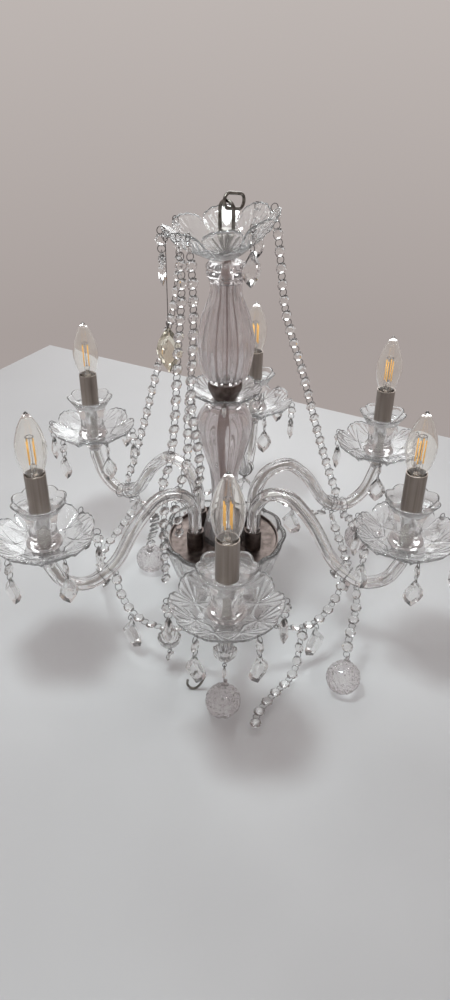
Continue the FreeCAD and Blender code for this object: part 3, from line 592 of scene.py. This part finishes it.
def islands_of(node):
    """The separate solids of a CAD node, as arrays of points and triangles, with area and volume."""
    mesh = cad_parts[node].data
    mesh.calc_loop_triangles()
    points = numpy.empty(len(mesh.vertices) * 3)
    mesh.vertices.foreach_get("co", points)
    corners = numpy.empty(len(mesh.loop_triangles) * 3, dtype=numpy.int64)
    mesh.loop_triangles.foreach_get("vertices", corners)
    points = points.reshape(-1, 3)
    _, first, merged = numpy.unique(numpy.round(points / 1e-6).astype(numpy.int64), axis=0,
                                    return_index=True, return_inverse=True)
    points = points[first]
    triangles = merged.reshape(-1)[corners].reshape(-1, 3)
    triangles = triangles[(triangles != numpy.roll(triangles, 1, axis=1)).all(axis=1)]

    label = numpy.arange(len(points))
    while True:
        lowest = label[triangles].min(axis=1)
        lower = label.copy()
        for corner in range(3):
            numpy.minimum.at(lower, triangles[:, corner], lowest)
        lower = lower[lower]
        if (lower == label).all():
            break
        label = lower

    a, b, c = (points[triangles[:, corner]] for corner in range(3))
    area = numpy.linalg.norm(numpy.cross(b - a, c - a), axis=1) / 2
    volume = (a * numpy.cross(b, c)).sum(axis=1) / 6
    owner = label[triangles[:, 0]]
    order = numpy.argsort(owner, kind="stable")
    groups = numpy.split(order, numpy.flatnonzero(numpy.diff(owner[order])) + 1)
    islands = []
    for group in groups:
        members, local = numpy.unique(triangles[group], return_inverse=True)
        islands.append({"points": points[members], "faces": local.reshape(-1, 3),
                        "area": area[group].sum(), "volume": abs(volume[group].sum())})
    return islands


def principal_axes(points):
    """Centre, and unit axes from the longest to the shortest direction of a set of points."""
    centre = (points.max(0) + points.min(0)) / 2
    spread = points - points.mean(0)
    _, axes = numpy.linalg.eigh(spread.T @ spread)
    return centre, axes[:, 2], axes[:, 1], axes[:, 0]


def add_wire_ring(bm, points):
    """Round wire ring where a CAD ring is."""
    middle = points.mean(0)
    _, along, across, normal = principal_axes(points)
    reach = numpy.linalg.norm(points - middle, axis=1)
    wire_r = numpy.abs((points - middle) @ normal).max()
    radius = (reach.max() + reach.min()) / 2
    around, section = (40, 10) if radius > 0.006 else (26, 8)
    rings = []
    for i in range(around):
        a = math.tau * i / around
        out = along * math.cos(a) + across * math.sin(a)
        rings.append([
            Vector(middle + out * (radius + wire_r * math.cos(b)) + normal * (wire_r * math.sin(b)))
            for b in (math.tau * j / section for j in range(section))
        ])
    skin_rings(bm, rings, True)


BEAD_RADIUS = 7.0 * MM
BEAD_HALF = 2.6 * MM


def add_bead(bm, points):
    """Octagon crystal cut with a table, kite facets and a thin girdle on both sides."""
    centre, *_, normal = principal_axes(points)
    flat = points - centre
    flat = flat - numpy.outer(flat @ normal, normal)
    corner = flat[numpy.argmax(numpy.linalg.norm(flat, axis=1))]
    along = corner / numpy.linalg.norm(corner)
    across = numpy.cross(normal, along)

    def ring(share, height, turn):
        place = []
        for i in range(8):
            a = math.tau * (i + turn) / 8
            out = along * math.cos(a) + across * math.sin(a)
            point = centre + out * share * BEAD_RADIUS + normal * height * BEAD_HALF
            place.append(bm.verts.new(Vector(point)))
        return place

    girdle = {side: ring(1.0, 0.12 * side, 0.0) for side in (-1, 1)}
    for i in range(8):
        j = (i + 1) % 8
        bm.faces.new((girdle[-1][i], girdle[-1][j], girdle[1][j], girdle[1][i]))
    for side in (-1, 1):
        kites = ring(0.74, 0.66 * side, 0.5)
        table = ring(0.46, 1.0 * side, 0.0)
        for i in range(8):
            j = (i + 1) % 8
            bm.faces.new((girdle[side][i], girdle[side][j], kites[i]))
            bm.faces.new((girdle[side][j], kites[j], kites[i]))
            bm.faces.new((kites[i], table[j], table[i]))
            bm.faces.new((kites[i], kites[j], table[j]))
        bm.faces.new(table)


def add_copy(bm, island):
    """A CAD solid's own shape."""
    verts = [bm.verts.new(Vector(p)) for p in island["points"]]
    for polygon in island["faces"]:
        bm.faces.new([verts[i] for i in polygon])


def ring_across(centre, axis, radius_at, count):
    """Ring of points round an axis; radius_at gives the radius at a turn."""
    side = axis.orthogonal().normalized()
    other = axis.cross(side)
    ring = []
    for j in range(count):
        a = math.tau * j / count
        ring.append(centre + (side * math.cos(a) + other * math.sin(a)) * radius_at(a))
    return ring


def make_ball(name, island, body, node):
    """Crackled ball with a hand-cut, slightly uneven surface and a drilled neck."""
    points = island["points"]
    ball_r = 21.0 * MM
    cell_dent, waviness = 0.9 * MM, 0.35 * MM
    low = points[:, 2].min()
    lower = points[points[:, 2] < low + ball_r]
    centre = Vector((lower.max(0) + lower.min(0)) / 2)
    centre.z = low + ball_r
    away = points - numpy.array(centre)
    axis = Vector(away[numpy.argmax(numpy.linalg.norm(away, axis=1))]).normalized()
    bm = bmesh.new()
    bmesh.ops.create_icosphere(bm, subdivisions=5, radius=1.0)
    for vert in bm.verts:
        direction = vert.co.normalized()
        cells = noise.voronoi(direction * 3.2)[0]
        ridge = cells[1] - cells[0]
        dent = cell_dent * (1 - min(1.0, ridge * 2.2)) + waviness * noise.noise(direction * 6.0)
        vert.co = centre + direction * (ball_r - max(0.0, dent))
    finish_piece(bm, name, CRACKLE, body, [node])

    bm = bmesh.new()
    rings = [[centre + axis * 19 * MM]]
    for r, h in ((5.0, 19.5), (4.2, 21.0), (2.5, 22.2), (2.2, 24.0), (2.2, 25.8), (1.6, 26.2)):
        rings.append(ring_across(centre + axis * h * MM, axis, lambda a: r * MM, 24))
    rings.append([centre + axis * 26.2 * MM])
    skin_rings(bm, rings, False)
    finish_piece(bm, name + "_neck", CRACKLE, body, [node])


def make_bell(name, island, body, node):
    """Fluted bell on the front pendant."""
    points = island["points"]
    middle = Vector(points.mean(0))
    _, *axes = principal_axes(points)
    axis = Vector(max(axes, key=lambda a: abs(a[2])))
    if axis.z < 0:
        axis.negate()
    top = middle + axis * max((Vector(p) - middle).dot(axis) for p in points)
    ribs = flutes(12, 0.1)
    outer = curve_through([(14.3, 0.3), (14.5, 2.8), (12, 9.8), (7, 14.8), (3.6, 16.6)], 5)
    inner = [(0.9, 16.8), (0.9, 12.0)] + curve_through([(4.5, 12.0), (9.5, 7.0), (11.8, 1.2)], 5)
    rings = [ring_across(top - axis * depth * MM, axis, lambda a: r * MM * (1 - ribs(a) * (r > 2)), 96)
             for r, depth in outer + inner]
    bm = bmesh.new()
    skin_rings(bm, rings, True)
    finish_piece(bm, name, CRYSTAL, body, [node])


OVAL_TURN = math.radians(61)  # the oval crystal shows its face to the front
WIRE_THICKNESS = 0.3 * MM  # volume over area; wire is under this and glass is over it
BALL_SIZE = 38 * MM
BELL_LENGTH, BELL_WIDTH = 24 * MM, 15 * MM
BEAD_SIZE = 15 * MM


def dress_strings(node, body, glass=CRYSTAL, turn=0.0):
    """Replaces a node of beads, drops and wires by cut crystals and round wires."""
    crystals, wires = bmesh.new(), bmesh.new()
    balls = bells = 0
    middle = numpy.array(middle_of(node))
    spin = numpy.array(Matrix.Rotation(turn, 3, "Z"))
    for island in islands_of(node):
        island["points"] = points = (island["points"] - middle) @ spin.T + middle
        narrowest = (points.max(0) - points.min(0)).min()
        _, along, across, _ = principal_axes(points)
        length, width = numpy.ptp(points @ along), numpy.ptp(points @ across)
        if island["volume"] / island["area"] < WIRE_THICKNESS:
            if width > 0.8 * length:
                add_wire_ring(wires, points)
            else:
                add_copy(wires, island)
        elif narrowest > BALL_SIZE:
            balls += 1
            make_ball(f"{node}_ball_{balls}", island, body, node)
        elif length > BELL_LENGTH and narrowest > BELL_WIDTH and width > 0.9 * length:
            bells += 1
            make_bell(f"{node}_bell_{bells}", island, body, node)
        elif length < BEAD_SIZE:
            add_bead(crystals, points)
        else:
            add_copy(crystals, island)
    finish_piece(crystals, f"{node}_crystals", glass, body, [node], smooth=False)
    finish_piece(wires, f"{node}_wires", WIRE, body, [node])


def make_strings():
    for node in ("crown_chains", "column_drops", "bobeche_drops", "lower_swags"):
        dress_strings(node, "frame")
    for k in range(1, 6):
        dress_strings(f"ball_pendant_{k}", f"ball_pendant_{k}_body")
    dress_strings("oval_pendant", "oval_pendant_body", AMBER, OVAL_TURN)


def make_s_hook():
    """Loose wire hook that stands beside the front ball."""
    route = curve_through([(-22, 29.5), (-18.5, 34.5), (-13, 32.5), (-11.5, 24), (-16, 11), (-22, 2.8),
                           (-28.5, 2.4), (-32.5, 8), (-32, 15)], 6)
    depth, wire_r = -182.0, 1.5
    line = [Vector((x, depth, z)) * MM for x, z in route]
    toward = Vector((0, 1, 0))
    rings = [[line[0]]]
    for before, point, after in zip([line[0]] + line, line, line[1:] + [line[-1]]):
        across = toward.cross((after - before).normalized())
        rings.append([point + (across * math.cos(a) + toward * math.sin(a)) * wire_r * MM
                      for a in (math.tau * j / 12 for j in range(12))])
    rings.append([line[-1]])
    bm = bmesh.new()
    skin_rings(bm, rings, False)
    finish_piece(bm, "s_hook", DULL_NICKEL, "frame")


# CAD nodes that keep their shape

def set_material(node, material):
    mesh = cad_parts[node].data
    mesh.materials.clear()
    mesh.materials.append(material)


def dress_nodes():
    for node in ("hub_plate", "arm_cups", "mid_ring"):
        set_material(node, DARK_METAL)
    for node in ("crown_nut", "hanging_loop", "hanging_link"):
        set_material(node, DULL_NICKEL)
    for node in ("bowl_nut", "cup_screws", "arm_nipples", "lamp_holders"):
        set_material(node, NICKEL)
    for k in ARMS:
        set_material(f"candle_sleeve_{k}", NICKEL_BROWN)
    set_material("stem_rod", ZINC)
    set_material("terminal_block", WHITE_PLASTIC)
    set_material("arm_wires", FLEX)


# Table, light and camera

TABLE_CORNER = Vector((-0.486, 0.917, 0.0))
TABLE_TURN = math.radians(-25.0)
TABLE_SIZE = 2.8
TABLE_THICKNESS = 0.025


def make_table():
    """White table top with its back left corner in view."""
    along = Vector((math.cos(TABLE_TURN), math.sin(TABLE_TURN), 0))
    back = Vector((-along.y, along.x, 0))
    bm = bmesh.new()
    rounds = [TABLE_CORNER, TABLE_CORNER + along * TABLE_SIZE, TABLE_CORNER + (along - back) * TABLE_SIZE,
              TABLE_CORNER - back * TABLE_SIZE]
    top = bm.faces.new([bm.verts.new(p) for p in rounds])
    solid = bmesh.ops.extrude_face_region(bm, geom=[top])
    moved = [g for g in solid["geom"] if isinstance(g, bmesh.types.BMVert)]
    bmesh.ops.translate(bm, verts=moved, vec=(0, 0, -TABLE_THICKNESS))
    bmesh.ops.recalc_face_normals(bm, faces=bm.faces)
    mesh = bpy.data.meshes.new("table_top")
    bm.to_mesh(mesh)
    bm.free()
    table = bpy.data.objects.new("table_top", mesh)
    scene.collection.objects.link(table)
    material, nodes, links, shader = blank_material("white_table")
    clouds = add_noise(nodes, links, 3.0, 3.0)
    colour = add_ramp(nodes, links, clouds.outputs["Fac"], (0.60, 0.605, 0.61), (0.635, 0.64, 0.645))
    links.new(colour.outputs["Color"], shader.inputs["Base Color"])
    scratches = add_noise(nodes, links, 60.0, 6.0, (1, 0.25, 1))
    bump = add_bump(nodes, links, scratches.outputs["Fac"], 0.12, 0.001)
    links.new(bump.outputs["Normal"], shader.inputs["Normal"])
    shader.inputs["Roughness"].default_value = 0.42
    shader.inputs["Specular IOR Level"].default_value = 0.3
    mesh.materials.append(material)


def make_world():
    """Warm grey walls at eye level under a brighter ceiling."""
    world = bpy.data.worlds.new("room")
    scene.world = world
    world.use_nodes = True
    nodes, links = world.node_tree.nodes, world.node_tree.links
    place = nodes.new("ShaderNodeTexCoord")
    split = nodes.new("ShaderNodeSeparateXYZ")
    ramp = nodes.new("ShaderNodeValToRGB")
    stops = [(0.33, (0.39, 0.345, 0.33)), (0.51, (0.51, 0.465, 0.445)), (0.60, (0.37, 0.315, 0.305)),
             (0.85, (0.29, 0.24, 0.235))]
    elements = ramp.color_ramp.elements
    while len(elements) < len(stops):
        elements.new(1.0)
    for element, (position, colour) in zip(elements, stops):
        element.position = position
        element.color = (*colour, 1)
    height = nodes.new("ShaderNodeMapRange")
    height.inputs["From Min"].default_value = -1.0
    links.new(place.outputs["Generated"], split.inputs["Vector"])
    links.new(split.outputs["Z"], height.inputs["Value"])
    links.new(height.outputs["Result"], ramp.inputs["Fac"])
    links.new(ramp.outputs["Color"], nodes["Background"].inputs["Color"])
    nodes["Background"].inputs["Strength"].default_value = 1.0


def add_lamp(name, place, power, size, colour):
    light = bpy.data.lights.new(name, "AREA")
    light.energy = power
    light.size = size
    light.color = colour
    lamp = bpy.data.objects.new(name, light)
    lamp.location = place
    lamp.rotation_euler = (Vector((0, 0, 0.15)) - Vector(place)).to_track_quat("-Z", "Y").to_euler()
    scene.collection.objects.link(lamp)


def make_camera():
    """Camera above the front of the table, 33 degrees downwards."""
    yaw, pitch, roll = math.radians(-3.0), math.radians(33.0), math.radians(0.6)
    forward = Vector((math.sin(yaw) * math.cos(pitch), math.cos(yaw) * math.cos(pitch), -math.sin(pitch)))
    level = Vector((math.cos(yaw), -math.sin(yaw), 0))
    upright = level.cross(forward)
    right = level * math.cos(roll) + upright * math.sin(roll)
    up = upright * math.cos(roll) - level * math.sin(roll)
    data = bpy.data.cameras.new("camera")
    data.lens = 26.82
    data.sensor_width = 36.0
    data.clip_start = 0.01
    camera = bpy.data.objects.new("camera", data)
    frame_matrix = Matrix((right, up, -forward)).transposed().to_4x4()
    frame_matrix.translation = Vector((0.044, -0.815, 0.688))
    camera.matrix_world = frame_matrix
    scene.collection.objects.link(camera)
    scene.camera = camera


make_dishes()
make_column()
for arm in ARMS:
    make_arm(arm)
    make_candle_cup(arm)
    make_bulb(arm)
make_strings()
make_s_hook()
dress_nodes()
make_table()
make_world()
add_lamp("ceiling", (-0.27, -0.22, 1.45), 9.9, 0.30, (0.90, 0.985, 1.0))
add_lamp("back_wall", (0.1, 1.5, 1.2), 15.0, 1.2, (0.95, 0.99, 1.0))
add_lamp("spot_left", (-1.0, 0.5, 1.8), 0.7, 0.06, (1.0, 0.98, 0.95))
add_lamp("spot_right", (1.1, -0.3, 1.7), 1.0, 0.08, (1.0, 0.98, 0.95))
make_camera()
scene.view_settings.view_transform = "Standard"
scene.cycles.max_bounces = GLASS_BOUNCES
scene.cycles.transmission_bounces = GLASS_BOUNCES
